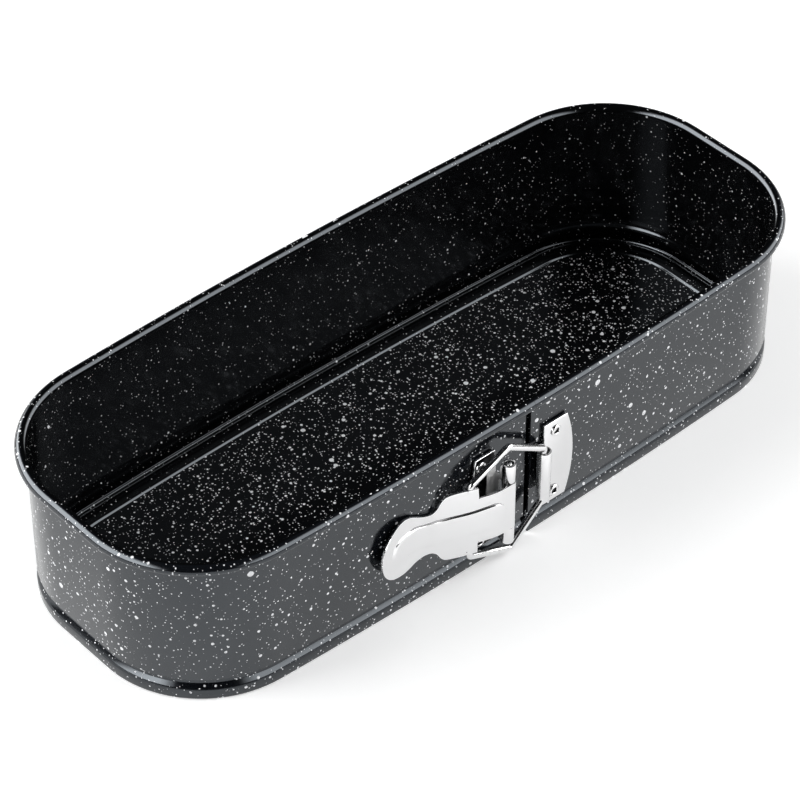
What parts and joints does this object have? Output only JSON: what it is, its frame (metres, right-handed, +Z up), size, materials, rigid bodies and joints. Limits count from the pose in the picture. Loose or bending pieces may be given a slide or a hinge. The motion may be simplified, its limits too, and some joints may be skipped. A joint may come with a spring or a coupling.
{
  "type": "springform loaf pan",
  "caption": "Rounded oblong springform pan: a dark coated side band, split at the front and closed by a steel over-centre latch, round a loose flat base.",
  "frame": {"origin": "middle of the base plate's flat underside, on the floor", "axes": "+X along the pan's length, with the keeper to the right of the seam; +Y away from the side with the latch; +Z up"},
  "size_m": [0.3, 0.1257, 0.0625],
  "materials": {
    "coating": "satin black non-stick coating with fine white specks",
    "steel": "bright nickel plate"
  },
  "bodies": {
    "band": {"side_band": "coating", "hinge_bracket": "steel", "hinge_pin": "steel", "bracket_rivet_upper": "steel", "bracket_rivet_lower": "steel"},
    "band_end": {"keeper_plate": "steel", "keeper_rivet_upper": "steel", "keeper_rivet_lower": "steel"},
    "bail": {"wire_bail": "steel"},
    "lever": {"lever": "steel"},
    "base": {"base_plate": "coating"}
  },
  "joints": [
    {"name": "lever_hinge", "type": "hinge", "parent": "band", "child": "lever", "pos_m": [-0.0141, -0.06285, 0.028], "axis": [0, 0, 1], "range_deg": [0, 120]},
    {"name": "band_spring", "type": "slide", "parent": "band", "child": "band_end", "axis": [1, 0, 0], "range_m": [0, 0.01568], "deforming": ["side_band"]},
    {"name": "bail_hinge", "type": "hinge", "parent": "band_end", "child": "bail", "pos_m": [0.0056, -0.06, 0.028], "axis": [0, 0, 1], "range_deg": [0, 29.99]},
    {"name": "base_lift", "type": "slide", "parent": "band", "child": "base", "axis": [0, 0, 1], "range_m": [0, 0.07]}
  ],
  "couplings": [
    {"joint": "band_spring", "follows": "lever_hinge", "m_per_rad": 0.007482},
    {"joint": "bail_hinge", "follows": "lever_hinge", "ratio": 0.24986}
  ]
}
